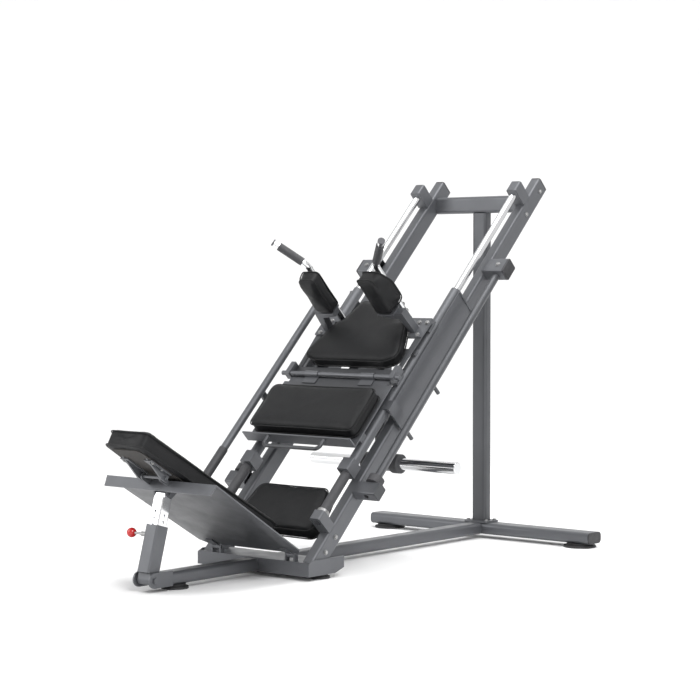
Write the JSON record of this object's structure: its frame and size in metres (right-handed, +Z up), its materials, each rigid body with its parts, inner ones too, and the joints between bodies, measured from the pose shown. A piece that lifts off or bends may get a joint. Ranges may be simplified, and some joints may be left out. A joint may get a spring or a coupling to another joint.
{
  "type": "hack squat machine",
  "caption": "Plate-loaded hack squat and leg press machine with a sliding padded carriage on inclined rails, weight horns, lock bars, seat and an adjustable foot plate.",
  "frame": {"origin": "floor point under the middle of the whole machine", "axes": "+X to the machine's right, +Y from the foot plate towards the rear upright, +Z up"},
  "size_m": [1.21, 2.3045, 1.6016],
  "materials": {
    "frame_paint": "metallic grey powder coat, satin",
    "steel_dark": "black powder coat, satin",
    "chrome": "polished chrome plate",
    "zinc_bolts": "dull plated bolt heads",
    "rubber": "matte black rubber",
    "grip_rubber": "matte black grip rubber",
    "plastic": "moulded black plastic",
    "bush": "dark bearing plastic",
    "upholstery": "black vinyl upholstery with piping",
    "board": "black-stained plywood board",
    "red_plastic": "glossy red knob"
  },
  "bodies": {
    "root": {"rear_crossbar": "frame_paint", "frame_end_caps": "plastic", "rear_feet": "rubber", "front_feet": "rubber", "floor_beam": "frame_paint", "post_clevis": "frame_paint", "base_crossbar": "frame_paint", "upright": "frame_paint", "head_beam": "frame_paint", "right_rail": "frame_paint", "left_rail": "frame_paint", "frame_bolts": "zinc_bolts", "guide_rods": "chrome", "rod_blocks": "frame_paint", "stop_bumpers": "rubber", "rod_collars": "zinc_bolts", "lock_bar_brackets": "frame_paint", "rail_guards": "frame_paint", "plate_hinge": "frame_paint", "seat_pad": "upholstery", "seat_bracket": "steel_dark"},
    "carriage": {"sleeves": "frame_paint", "sleeve_bushes": "bush", "slide_blocks": "frame_paint", "catch_plates": "frame_paint", "flip_rests": "frame_paint", "carriage_cross_bars": "frame_paint", "carriage_plate": "frame_paint", "back_pad": "upholstery", "shoulder_supports": "frame_paint", "shoulder_bolts": "zinc_bolts", "right_shoulder_pad": "upholstery", "left_shoulder_pad": "upholstery", "hand_grips": "chrome", "grip_sleeves": "grip_rubber", "grip_plugs": "plastic", "hinge_bar": "frame_paint", "weight_arm": "frame_paint", "weight_horns": "chrome", "horn_flanges": "rubber"},
    "flip_plate": {"flip_plate": "frame_paint", "lower_pad": "upholstery", "flip_pull": "frame_paint"},
    "left_lock": {"left_lock_bar": "frame_paint", "release_bar": "frame_paint", "release_grip": "grip_rubber"},
    "right_lock": {"right_lock_bar": "frame_paint"},
    "foot_plate": {"foot_plate": "frame_paint", "post_top_bracket": "frame_paint", "backrest_pivot": "frame_paint", "backrest_stops": "rubber"},
    "backrest": {"backrest_board": "board", "backrest_pad": "upholstery", "backrest_arms": "frame_paint", "backrest_bolts": "zinc_bolts"},
    "post_outer": {"post_outer_tube": "frame_paint", "post_liner": "plastic"},
    "post_inner": {"post_inner_tube": "chrome"},
    "pull_pin": {"pull_pin": "zinc_bolts", "pull_knob": "red_plastic"}
  },
  "joints": [
    {"name": "carriage_travel", "type": "slide", "parent": "root", "child": "carriage", "axis": [0, 0.7071, 0.7071], "range_m": [0, 0.58]},
    {"name": "flip_plate_hinge", "type": "hinge", "parent": "carriage", "child": "flip_plate", "pos_m": [0, 0.08218, 0.76418], "axis": [-1, 0, 0], "range_deg": [0, 90]},
    {"name": "left_lock_turn", "type": "hinge", "parent": "root", "child": "left_lock", "pos_m": [-0.353, 0.24269, 0.72812], "axis": [0, -0.7071, -0.7071], "range_deg": [0, 90]},
    {"name": "right_lock_turn", "type": "hinge", "parent": "root", "child": "right_lock", "pos_m": [0.353, 0.24269, 0.72812], "axis": [0, 0.7071, 0.7071], "range_deg": [0, 90]},
    {"name": "foot_plate_tilt", "type": "hinge", "parent": "root", "child": "foot_plate", "pos_m": [0, -0.4409, 0.095], "axis": [-1, 0, 0], "range_deg": [-4, 4]},
    {"name": "backrest_fold", "type": "hinge", "parent": "foot_plate", "child": "backrest", "pos_m": [0, -0.99292, 0.42668], "axis": [1, 0, 0], "range_deg": [0, 120]},
    {"name": "post_swing", "type": "hinge", "parent": "root", "child": "post_outer", "pos_m": [0, -1.0249, 0.047], "axis": [-1, 0, 0], "range_deg": [-1.6, 1.6]},
    {"name": "post_slide", "type": "slide", "parent": "post_outer", "child": "post_inner", "axis": [0, 0.2756, 0.9613], "range_m": [-0.04, 0.04]},
    {"name": "pull_pin_slide", "type": "slide", "parent": "post_outer", "child": "pull_pin", "axis": [-1, 0, 0], "range_m": [0, 0.012], "stiffness_N_per_m": 900, "springref_m": -0.01}
  ],
  "couplings": [
    {"joint": "right_lock_turn", "follows": "left_lock_turn", "ratio": 1},
    {"joint": "post_swing", "follows": "foot_plate_tilt", "ratio": 0.3612},
    {"joint": "post_slide", "follows": "foot_plate_tilt", "m_per_rad": 0.548}
  ]
}
